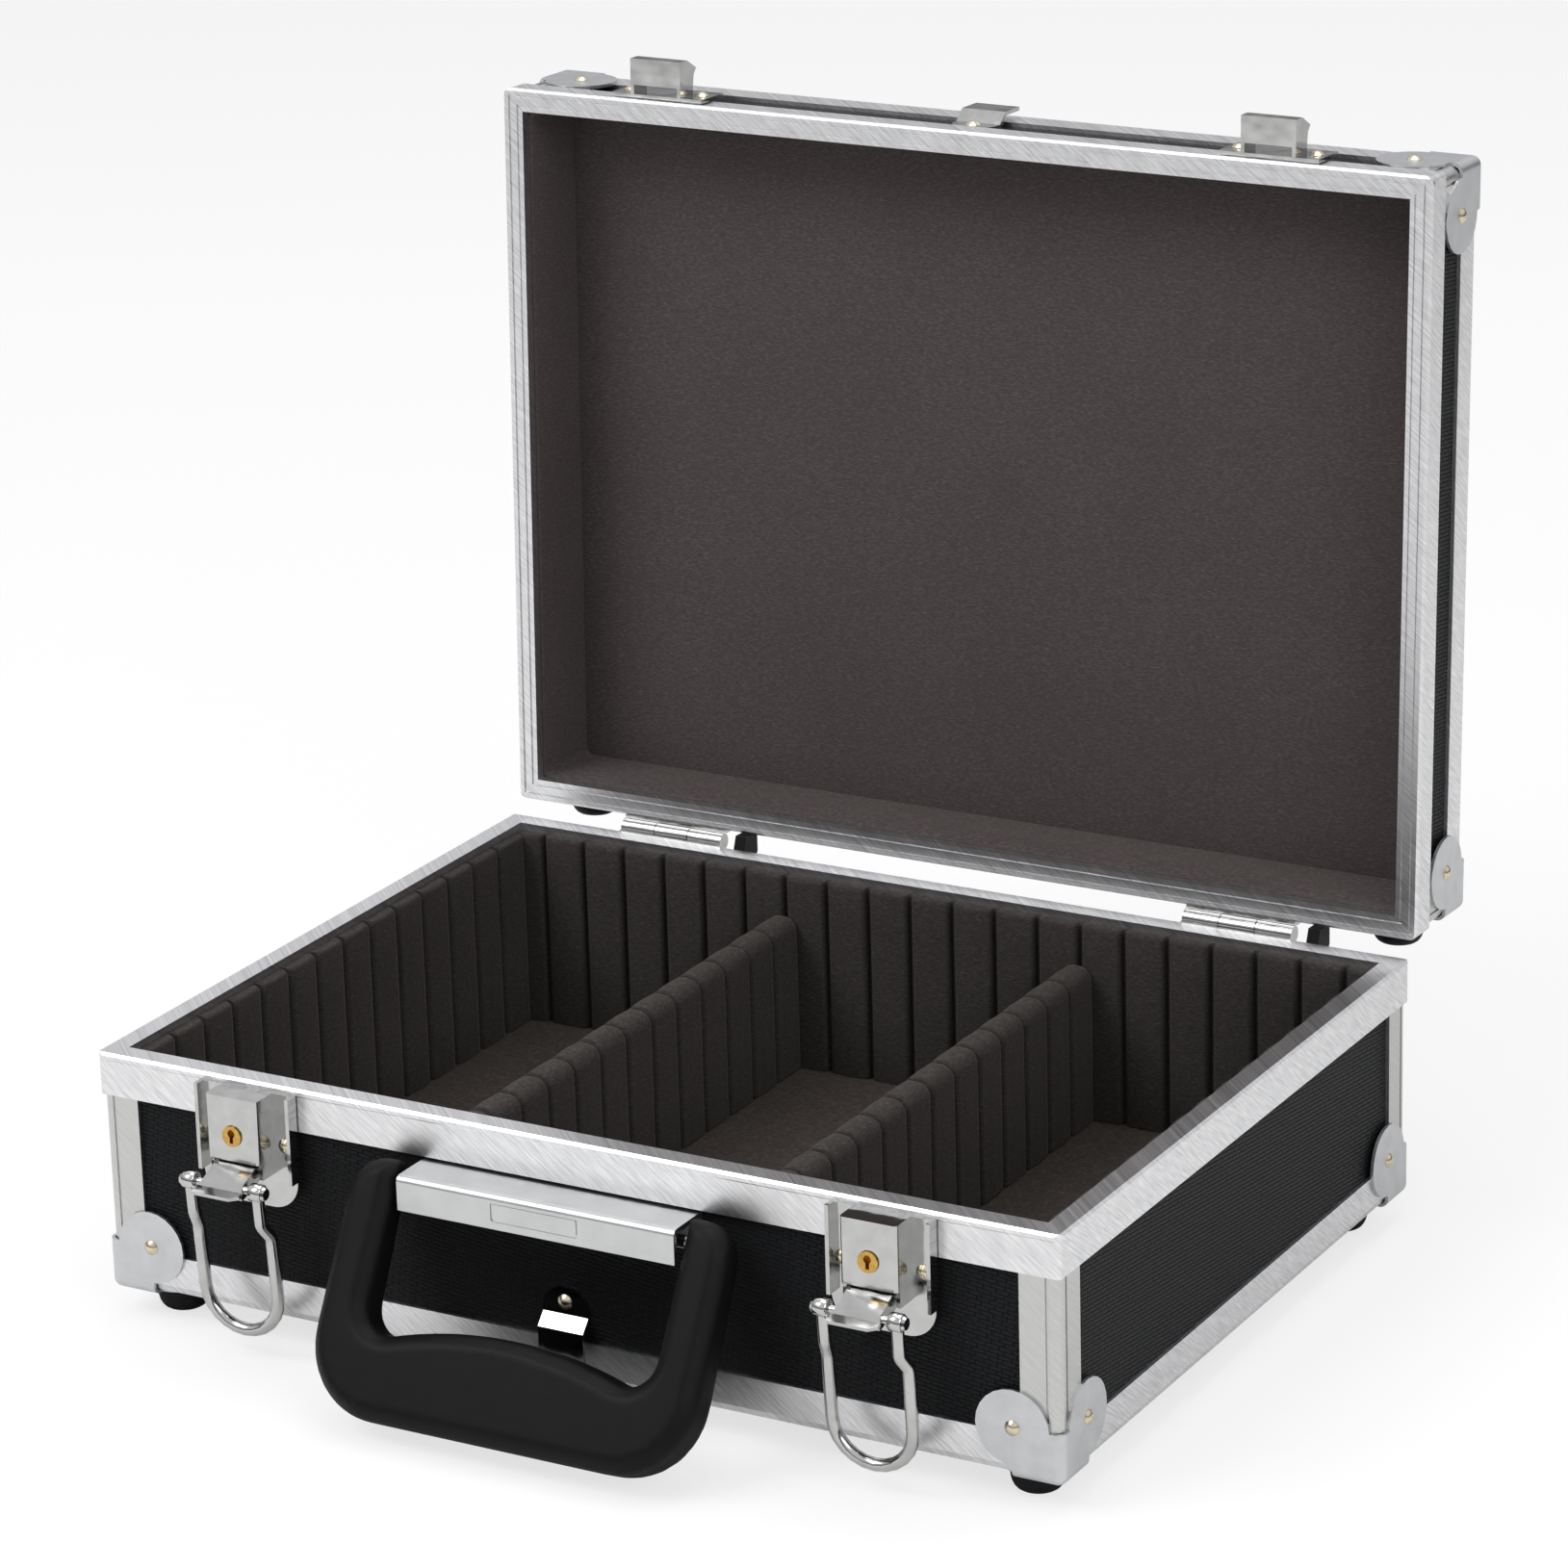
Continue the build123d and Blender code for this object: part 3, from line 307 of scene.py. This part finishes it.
def finish_of(name):
    """The material of a CAD node that stays in view."""
    if name.endswith("_panel"):
        side = name.split("_")[1]
        if side in ("left", "right"):
            return laminate_side
        lies_flat = name in ("base_bottom_panel", "lid_front_panel", "lid_back_panel")
        return laminate_flat if lies_flat else laminate_long
    if "corner_caps" in name:
        return cap_steel
    if "posts" in name:
        return post_aluminium
    if "rim" in name or "edges" in name:
        return rim_aluminium
    if name == "handle_bracket":
        return bracket_metal
    if "plug" in name:
        return brass
    if name == "lid_stops":
        return handle_plastic
    return chrome


def coat(thing, material):
    """Give an object one material in every slot."""
    thing.data.materials.clear()
    thing.data.materials.append(material)


def piece_from(name, build, material, smooth_angle=40.0):
    """A new mesh object from a bmesh, shaded smooth except at its sharp edges."""
    bmesh.ops.recalc_face_normals(build, faces=build.faces)
    mesh = bpy.data.meshes.new(name)
    build.to_mesh(mesh)
    build.free()
    thing = bpy.data.objects.new(name, mesh)
    bpy.context.scene.collection.objects.link(thing)
    mesh.materials.append(material)
    mesh.shade_smooth()
    mesh.set_sharp_from_angle(angle=math.radians(smooth_angle))
    return thing


def skin_rings(build, rings, close_ends=True):
    """Join rings of as many points each, and close the first and the last."""
    loops = [[build.verts.new(point) for point in ring] for ring in rings]
    count = len(loops[0])
    for one, two in zip(loops, loops[1:]):
        for k in range(count):
            build.faces.new((one[k], one[(k + 1) % count], two[(k + 1) % count], two[k]))
    if close_ends:
        build.faces.new(list(reversed(loops[0])))
        build.faces.new(loops[-1])


def soften(point, amount, grain):
    """A small steady unevenness of padded felt, the same in each run."""
    place = point / grain
    shifts = (0.0, 31.7, 57.3)
    return point + amount * Vector([noise.noise(place + Vector((shift, 0, 0))) for shift in shifts])


def shut_corners(name):
    """A lid node's lowest and highest corners with the lid shut."""
    points = [shut_lid @ v.co for v in nodes[name].data.vertices]
    low = Vector([min(p[i] for p in points) for i in range(3)])
    high = Vector([max(p[i] for p in points) for i in range(3)])
    return low, high


def rib_stations(start, end, edges, half, depth, crown):
    """Places along a padded strip, each with how far its face is drawn in there."""
    cuts = [start] + [edge for edge in edges if start < edge < end] + [end]
    stations = []
    for a, b in zip(cuts, cuts[1:]):
        left = a if a == start else a + half
        right = b if b == end else b - half
        width = right - left
        stations += [
            (left, depth), (left + 0.15 * mm, depth * 0.45), (left + 0.6 * mm, depth * 0.14),
            (left + 1.5 * mm, crown), (left + width / 3, crown * 0.3), (left + width / 2, 0.0),
            (right - width / 3, crown * 0.3), (right - 1.5 * mm, crown),
            (right - 0.6 * mm, depth * 0.14), (right - 0.15 * mm, depth * 0.45), (right, depth),
        ]
    return stations


def ribbed_wall(node, axis, facing):
    """A wall lining: upright padded ribs with narrow channels sewn between them."""
    low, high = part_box(node)
    other = 1 - axis
    back = low[other] if facing > 0 else high[other]
    face = high[other] if facing > 0 else low[other]
    start, end = low[axis], high[axis]
    middle = (start + end) / 2
    if axis == 0:
        count = int((end - start) / rib_pitch / 2) + 1
        edges = [middle + (k + 0.5) * rib_pitch for k in range(-count, count)]
        edges = [e for e in edges if start + 2.5 * mm < e < end - 2.5 * mm]
    else:
        pitch = (end - start) / rib_count
        edges = [middle + k * pitch for k in range(1 - rib_count // 2, rib_count // 2)]
    near_back = back + facing * 1.2 * mm
    under = high.z - 1.3 * mm
    level = 12 * mm
    rings = []
    for place, inset in rib_stations(start, end, edges, groove_half, groove_depth, felt_crown):
        front = face - facing * inset
        section = [
            (back, low.z), (front, low.z), (front, low.z + level), (front, (low.z + high.z) / 2),
            (front, high.z - level), (front, high.z - 1.2 * mm),
            (front - facing * 0.3 * mm, high.z - 0.4 * mm), (front - facing * 0.9 * mm, high.z),
            (near_back, high.z), (near_back, under), (back, under),
        ]
        ring = []
        for depth, z in section:
            point = Vector((place, depth, z)) if axis == 0 else Vector((depth, place, z))
            inside = abs(depth - front) < 0.05 * mm and low.z < z < high.z - mm
            ring.append(soften(point, 0.12 * mm, 17 * mm) if inside else point)
        rings.append(ring)
    build = bmesh.new()
    skin_rings(build, rings)
    piece = piece_from(f"{node}_felt", build, felt, 60)
    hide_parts(node)
    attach(piece, "base")
    return piece


def ribbed_divider(node):
    """A padded divider: fourteen ribs wrapped over its top, with narrow channels between."""
    low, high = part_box(node)
    tongue = 3.1 * mm
    middle = (low.x + high.x) / 2
    half = (high.x - low.x) / 2
    start, end = low.y + tongue, high.y - tongue
    pitch = (end - start) / rib_count
    edges = [start + k * pitch for k in range(1, rib_count)]
    rings = []
    for place, inset in rib_stations(start, end, edges, groove_half, divider_groove, felt_crown * 0.6):
        wide = half - inset
        radius = divider_crest_radius - inset / 2
        crest = high.z - inset
        section = [(wide, low.z), (wide, low.z + 15 * mm), (wide, crest - radius - 10 * mm)]
        for step in range(7):
            turn = math.radians(15 * step)
            x = wide - radius + radius * math.cos(turn)
            section.append((x, crest - radius + radius * math.sin(turn)))
        section += [(-x, z) for x, z in reversed(section)]
        ring = []
        for x, z in section:
            point = Vector((middle + x, place, z))
            fixed = z < low.z + mm
            ring.append(point if fixed else soften(point, 0.15 * mm, 14 * mm))
        rings.append(ring)
    build = bmesh.new()
    skin_rings(build, rings)
    blade_thickness = 1.0 * mm
    top = high.z - divider_crest_radius
    for a, b in ((low.y, start + mm), (end - mm, high.y)):
        place = Matrix.Translation((middle, (a + b) / 2, (low.z + top) / 2))
        size = Matrix.Diagonal((blade_thickness, b - a, top - low.z, 1))
        bmesh.ops.create_cube(build, size=1.0, matrix=place @ size)
    piece = piece_from(f"{node}_felt", build, felt, 60)
    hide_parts(node)
    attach(piece, node)
    return piece


def felt_sheet(name, node, low, high, place, material, body):
    """A board covered with felt: a thin slab with eased edges and a slightly uneven face."""
    build = bmesh.new()
    nx, ny = 40, 30
    ease = 0.6 * mm
    hollow = 0.3 * mm
    hollow_size = 26 * mm
    rings = []
    for i in range(nx + 1):
        x = low.x + (high.x - low.x) * i / nx
        ends = i in (0, nx)
        ring = []
        for j in range(ny + 1):
            y = low.y + (high.y - low.y) * j / ny
            at_edge = ends or j in (0, ny)
            point = Vector((x, y, high.z))
            point.z -= ease if at_edge else abs(noise.noise(point / hollow_size)) * hollow
            ring.append(point)
        ring += [Vector((x, high.y, low.z)), Vector((x, low.y, low.z))]
        rings.append(ring)
    skin_rings(build, rings)
    bmesh.ops.transform(build, matrix=place, verts=build.verts)
    piece = piece_from(name, build, material, 60)
    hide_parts(node)
    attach(piece, body)
    return piece


def lid_wall_felt():
    """The felt round the lid's four walls, turned softly at the corners."""
    low, high = shut_corners("lid_wall_lining")
    thick = 2.0 * mm
    corner = 3.0 * mm
    build = bmesh.new()

    def outline(inset, radius, z):
        points = []
        for sx, sy, first in ((1, 1, 0), (-1, 1, 90), (-1, -1, 180), (1, -1, 270)):
            cx = (high.x if sx > 0 else low.x) - sx * (inset + radius)
            cy = (high.y if sy > 0 else low.y) - sy * (inset + radius)
            for step in range(5):
                turn = math.radians(first + 22.5 * step)
                points.append(Vector((cx + radius * math.cos(turn), cy + radius * math.sin(turn), z)))
        return points

    rounds = [
        outline(0.05 * mm, 0.3 * mm, low.z + 0.3 * mm), outline(0.4 * mm, 0.5 * mm, low.z),
        outline(thick - 0.5 * mm, corner - 0.4 * mm, low.z), outline(thick, corner, low.z + 0.6 * mm),
        outline(thick, corner, (low.z + high.z) / 2), outline(thick, corner, high.z),
        outline(0.05 * mm, 0.3 * mm, high.z),
    ]
    skin_rings(build, rounds + [rounds[0]], close_ends=False)
    bmesh.ops.remove_doubles(build, verts=build.verts, dist=1e-6)
    bmesh.ops.transform(build, matrix=open_lid, verts=build.verts)
    piece = piece_from("lid_wall_felt", build, lid_felt, 60)
    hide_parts("lid_wall_lining")
    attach(piece, "lid")
    return piece


def islands(name, shut=False):
    """Each separate solid of a node: its lowest and highest corners."""
    build = bmesh.new()
    build.from_mesh(nodes[name].data)
    bmesh.ops.remove_doubles(build, verts=build.verts, dist=1e-6)
    if shut:
        bmesh.ops.transform(build, matrix=shut_lid, verts=build.verts)
    seen = set()
    found = []
    for vert in build.verts:
        if vert.index in seen:
            continue
        stack = [vert]
        points = []
        seen.add(vert.index)
        while stack:
            here = stack.pop()
            points.append(here.co.copy())
            for edge in here.link_edges:
                there = edge.other_vert(here)
                if there.index not in seen:
                    seen.add(there.index)
                    stack.append(there)
        low = Vector([min(p[i] for p in points) for i in range(3)])
        high = Vector([max(p[i] for p in points) for i in range(3)])
        found.append((low, high))
    build.free()
    return found


def standing_place(low, high, centre):
    """Where a small turned part stands: a matrix with its axis along +Z, its radius and height."""
    size = high - low
    axis = min(range(3), key=lambda i: size[i])
    middle = (low + high) / 2
    sign = 1.0 if middle[axis] > centre[axis] else -1.0
    direction = Vector([sign if i == axis else 0.0 for i in range(3)])
    foot = middle - direction * size[axis] / 2
    turn = direction.to_track_quat("Z", "Y").to_matrix().to_4x4()
    radius = max(size[i] for i in range(3) if i != axis) / 2
    return Matrix.Translation(foot) @ turn, radius, size[axis]


def turn_profile(build, profile, segments, place):
    """A turned solid from (radius, height) points, whose first and last points lie on the axis."""
    rings = []
    turns = [2 * math.pi * k / segments for k in range(segments)]
    for radius, height in profile[1:-1]:
        rings.append([
            build.verts.new(place @ Vector((radius * math.cos(turn), radius * math.sin(turn), height)))
            for turn in turns
        ])
    start = build.verts.new(place @ Vector((0, 0, profile[0][1])))
    end = build.verts.new(place @ Vector((0, 0, profile[-1][1])))
    for one, two in zip(rings, rings[1:]):
        for k in range(segments):
            build.faces.new((one[k], one[(k + 1) % segments], two[(k + 1) % segments], two[k]))
    for k in range(segments):
        build.faces.new((start, rings[0][(k + 1) % segments], rings[0][k]))
        build.faces.new((end, rings[-1][k], rings[-1][(k + 1) % segments]))


def case_centre(shut=False):
    """The middle of the base, or of the shut lid."""
    if shut:
        low, high = shut_corners("lid_rim")
        high.z = shut_corners("lid_top_panel")[1].z
        return (low + high) / 2
    low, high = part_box("base_rim")
    middle = (Vector(low) + Vector(high)) / 2
    middle.z = (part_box("base_bottom_panel")[0].z + high.z) / 2
    return middle


def rivet_heads(node, body, shut=False):
    """Domed rivet heads with a small flat rim."""
    build = bmesh.new()
    for low, high in islands(node, shut):
        place, radius, height = standing_place(low, high, case_centre(shut))
        ball = (radius**2 + height**2) / (2 * height)
        profile = [(0, 0), (radius, 0), (radius, height * 0.12)]
        for share in (0.9, 0.75, 0.58, 0.4, 0.2):
            reach = radius * share
            profile.append((reach, height - ball + math.sqrt(ball**2 - reach**2)))
        profile.append((0, height))
        turn_profile(build, profile, rivet_segments, (open_lid if shut else Matrix()) @ place)
    piece = piece_from(f"{node}_heads", build, rivet_nickel, 50)
    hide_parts(node)
    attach(piece, body)
    return piece


def rubber_feet(node, body, shut=False):
    """Moulded rubber feet: a straight collar, a rounded shoulder and a dished tip."""
    build = bmesh.new()
    for low, high in islands(node, shut):
        place, radius, height = standing_place(low, high, case_centre(shut))
        shoulder = height * 0.42
        bend = height - shoulder
        tip = radius * 0.62
        profile = [(0, 0), (radius * 0.97, 0), (radius, 0.4 * mm), (radius, shoulder)]
        for step in range(1, 7):
            turn = math.radians(15 * step)
            profile.append((tip + (radius - tip) * math.cos(turn), shoulder + bend * math.sin(turn)))
        profile += [(tip * 0.6, height), (tip * 0.5, height - 0.8 * mm), (0, height - 0.8 * mm)]
        turn_profile(build, profile, foot_segments, (open_lid if shut else Matrix()) @ place)
    piece = piece_from(f"{node}_rubber", build, rubber, 35)
    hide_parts(node)
    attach(piece, body)
    return piece


def smooth_handle():
    """The moulded handle with its edges run together as the mould leaves them."""
    source = nodes["handle"].data.copy()
    piece = bpy.data.objects.new("handle_moulding", source)
    bpy.context.scene.collection.objects.link(piece)
    source.materials.clear()
    source.materials.append(handle_plastic)
    remesh = piece.modifiers.new("skin", "REMESH")
    remesh.mode = "VOXEL"
    remesh.voxel_size = 1.0 * mm
    relax = piece.modifiers.new("round", "SMOOTH")
    relax.factor = 0.5
    relax.iterations = 14
    reduce = piece.modifiers.new("thin_out", "DECIMATE")
    reduce.ratio = 0.45
    bpy.context.view_layer.update()
    graph = bpy.context.evaluated_depsgraph_get()
    mesh = bpy.data.meshes.new_from_object(piece.evaluated_get(graph), depsgraph=graph)
    piece.modifiers.clear()
    piece.data = mesh
    mesh.shade_smooth()
    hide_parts("handle")
    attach(piece, "handle")
    return piece


def wire_bail(side):
    """A bail bent from round wire, cranked below its two flattened eyes."""
    node = f"latch_{side}_bail"
    joint = joints[f"latch_{side}_bail_turn"]
    eye = Vector(joint["pos_m"])
    end = bail_length - wire_radius
    bow_start = end - bail_half_width
    bend = 2.2 * mm
    ease = 0.3 * mm
    narrow = bail_neck_half_width
    wide = bail_half_width
    jog_end = -bail_neck - bail_jog
    path = [
        (narrow, 0, -1.0 * mm), (narrow, 0, -bail_neck + bend), (narrow, 0.0, -bail_neck + bend * 0.3),
        (narrow + 0.1 * mm, ease, -bail_neck - ease),
        (wide - 0.1 * mm, bail_crank - ease, jog_end + ease),
        (wide, bail_crank, jog_end - bend * 0.5), (wide, bail_crank, jog_end - 2 * bend),
        (wide, bail_crank, -bow_start),
    ]
    leg_points = len(path)
    for step in range(1, 12):
        turn = math.radians(15 * step)
        path.append((wide * math.cos(turn), bail_crank, -bow_start - wide * math.sin(turn)))
    path += [(-x, y, z) for x, y, z in reversed(path[:leg_points])]
    place = Matrix.Translation(eye) @ Matrix.Rotation(bail_tilt, 4, "X")
    build = bmesh.new()
    rings = []
    count = len(path)
    for k, point in enumerate(path):
        here = Vector(point)
        before = Vector(path[max(k - 1, 0)])
        after = Vector(path[min(k + 1, count - 1)])
        tangent = (after - before).normalized()
        out = Vector((0, 1, 0))
        out = (out - tangent * out.dot(tangent)).normalized()
        across = tangent.cross(out)
        ring = []
        for i in range(wire_sides):
            turn = 2 * math.pi * i / wire_sides
            ring.append(place @ (here + (across * math.cos(turn) + out * math.sin(turn)) * wire_radius))
        rings.append(ring)
    skin_rings(build, rings)
    for sx in (-1, 1):
        eye_ring(build, place @ Matrix.Translation((sx * bail_neck_half_width, 0, 0)))
    piece = piece_from(f"{node}_wire", build, chrome, 45)
    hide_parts(node)
    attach(piece, node)
    return piece


def eye_ring(build, place):
    """A flattened wire eye: a short collar along X with eased edges and its hole."""
    ease = 0.35 * mm
    section = [
        (-bail_eye_half, bail_pin_hole), (-bail_eye_half, bail_eye_radius - ease),
        (-bail_eye_half + ease, bail_eye_radius), (bail_eye_half - ease, bail_eye_radius),
        (bail_eye_half, bail_eye_radius - ease), (bail_eye_half, bail_pin_hole),
    ]
    rings = []
    for k in range(eye_segments):
        turn = 2 * math.pi * k / eye_segments
        rings.append([
            build.verts.new(place @ Vector((x, radius * math.cos(turn), radius * math.sin(turn))))
            for x, radius in section
        ])
    for k in range(eye_segments):
        one, two = rings[k], rings[(k + 1) % eye_segments]
        for i in range(len(section)):
            j = (i + 1) % len(section)
            build.faces.new((one[i], one[j], two[j], two[i]))


for name, node in nodes.items():
    coat(node, finish_of(name))

for node, axis, facing in (
    ("liner_front", 0, 1), ("liner_back", 0, -1), ("liner_left", 1, 1), ("liner_right", 1, -1),
):
    ribbed_wall(node, axis, facing)
for side in ("left", "right"):
    ribbed_divider(f"divider_{side}")
    wire_bail(side)
floor_low, floor_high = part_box("floor_pad")
felt_sheet("floor_felt", "floor_pad", floor_low, floor_high, Matrix(), floor_felt, "base")
lining_low, lining_high = shut_corners("lid_top_lining")
upside_down = Matrix.Translation((0, 0, lining_low.z + lining_high.z)) @ Matrix.Diagonal((1, 1, -1, 1))
felt_sheet(
    "lid_felt", "lid_top_lining", lining_low, lining_high, open_lid @ upside_down, lid_felt, "lid",
)
lid_wall_felt()
rivet_heads("base_corner_rivets", "base")
rivet_heads("front_rivets", "base")
rivet_heads("lid_corner_rivets", "lid", shut=True)
rivet_heads("lid_front_rivets", "lid", shut=True)
rubber_feet("base_feet", "base")
rubber_feet("lid_back_feet", "lid", shut=True)
smooth_handle()


def studio():
    """A white floor that runs out of sight, soft lamps and an even white surround."""
    white = linear("#ffffff")
    floor_glow = 0.72
    bpy.ops.mesh.primitive_plane_add(size=14.0, location=(0, 0, 0))
    floor = bpy.context.object
    floor.name = "studio_floor"
    material = bpy.data.materials.new("matt_white_floor")
    material.use_nodes = True
    tree = material.node_tree
    tree.nodes.clear()
    matt = add(tree, "ShaderNodeBsdfDiffuse", None, {"Color": linear("#f4f4f4")})
    glow = add(tree, "ShaderNodeEmission", None, {"Color": white, "Strength": 1.0})
    ray = add(tree, "ShaderNodeLightPath")
    share = add(tree, "ShaderNodeMath", {"operation": "MULTIPLY"}, {
        0: ray.outputs["Is Camera Ray"], 1: floor_glow,
    })
    both = add(tree, "ShaderNodeMixShader", None, {
        0: share.outputs[0], 1: matt.outputs[0], 2: glow.outputs[0],
    })
    add(tree, "ShaderNodeOutputMaterial", None, {"Surface": both.outputs[0]})
    floor.data.materials.append(material)

    world = bpy.data.worlds.new("studio")
    bpy.context.scene.world = world
    world.use_nodes = True
    tree = world.node_tree
    tree.nodes.clear()
    ray = add(tree, "ShaderNodeLightPath")
    direction = add(tree, "ShaderNodeTexCoord")
    split = add(tree, "ShaderNodeSeparateXYZ", None, {0: direction.outputs["Generated"]})
    ramp = add(tree, "ShaderNodeValToRGB", None, {0: ranged(tree, split.outputs["Z"], 0.5, 1.0)})
    dark, bright = ramp.color_ramp.elements
    dark.position = 0.52
    dark.color = (0.03, 0.03, 0.035, 1)
    bright.position = 0.7
    bright.color = (0.9, 0.9, 0.92, 1)
    soft = add(tree, "ShaderNodeBackground", None, {"Color": (1, 1, 1, 1), "Strength": 0.45})
    mirrored = add(tree, "ShaderNodeBackground", None, {"Color": ramp.outputs[0], "Strength": 1.0})
    backdrop = add(tree, "ShaderNodeBackground", None, {"Color": white, "Strength": 1.0})
    first = add(tree, "ShaderNodeMixShader", None, {
        0: ray.outputs["Is Glossy Ray"], 1: soft.outputs[0], 2: mirrored.outputs[0],
    })
    second = add(tree, "ShaderNodeMixShader", None, {
        0: ray.outputs["Is Camera Ray"], 1: first.outputs[0], 2: backdrop.outputs[0],
    })
    add(tree, "ShaderNodeOutputWorld", None, {"Surface": second.outputs[0]})

    lamps = (
        ("key_softbox", (-1.1, -1.3, 1.9), 1.3, 30.0),
        ("fill_softbox", (1.7, -0.9, 1.2), 1.2, 12.0),
        ("top_softbox", (0.1, 0.3, 2.2), 1.6, 20.0),
    )
    aim = Vector((0, 0, 0.12))
    for name, place, size, power in lamps:
        lamp = bpy.data.lights.new(name, "AREA")
        lamp.shape = "SQUARE"
        lamp.size = size
        lamp.energy = power
        thing = bpy.data.objects.new(name, lamp)
        thing.location = place
        thing.rotation_euler = (aim - Vector(place)).to_track_quat("-Z", "Y").to_euler()
        bpy.context.scene.collection.objects.link(thing)


def photograph_camera():
    """The camera at the photograph's place and turn."""
    forward = Vector((
        math.sin(view_turn) * math.cos(view_fall), math.cos(view_turn) * math.cos(view_fall),
        math.sin(view_fall),
    ))
    level = Vector((math.cos(view_turn), -math.sin(view_turn), 0))
    upward = level.cross(forward)
    right = level * math.cos(view_roll) + upward * math.sin(view_roll)
    up = upward * math.cos(view_roll) - level * math.sin(view_roll)
    data = bpy.data.cameras.new("photograph_camera")
    data.lens = focal_length
    data.sensor_width = 36.0
    data.sensor_fit = "HORIZONTAL"
    data.clip_end = 50.0
    camera = bpy.data.objects.new("photograph_camera", data)
    turn = Matrix((right, up, -forward)).transposed().to_4x4()
    camera.matrix_world = Matrix.Translation(camera_place) @ turn
    bpy.context.scene.collection.objects.link(camera)
    bpy.context.scene.camera = camera


studio()
photograph_camera()
bpy.context.scene.view_settings.view_transform = "Standard"
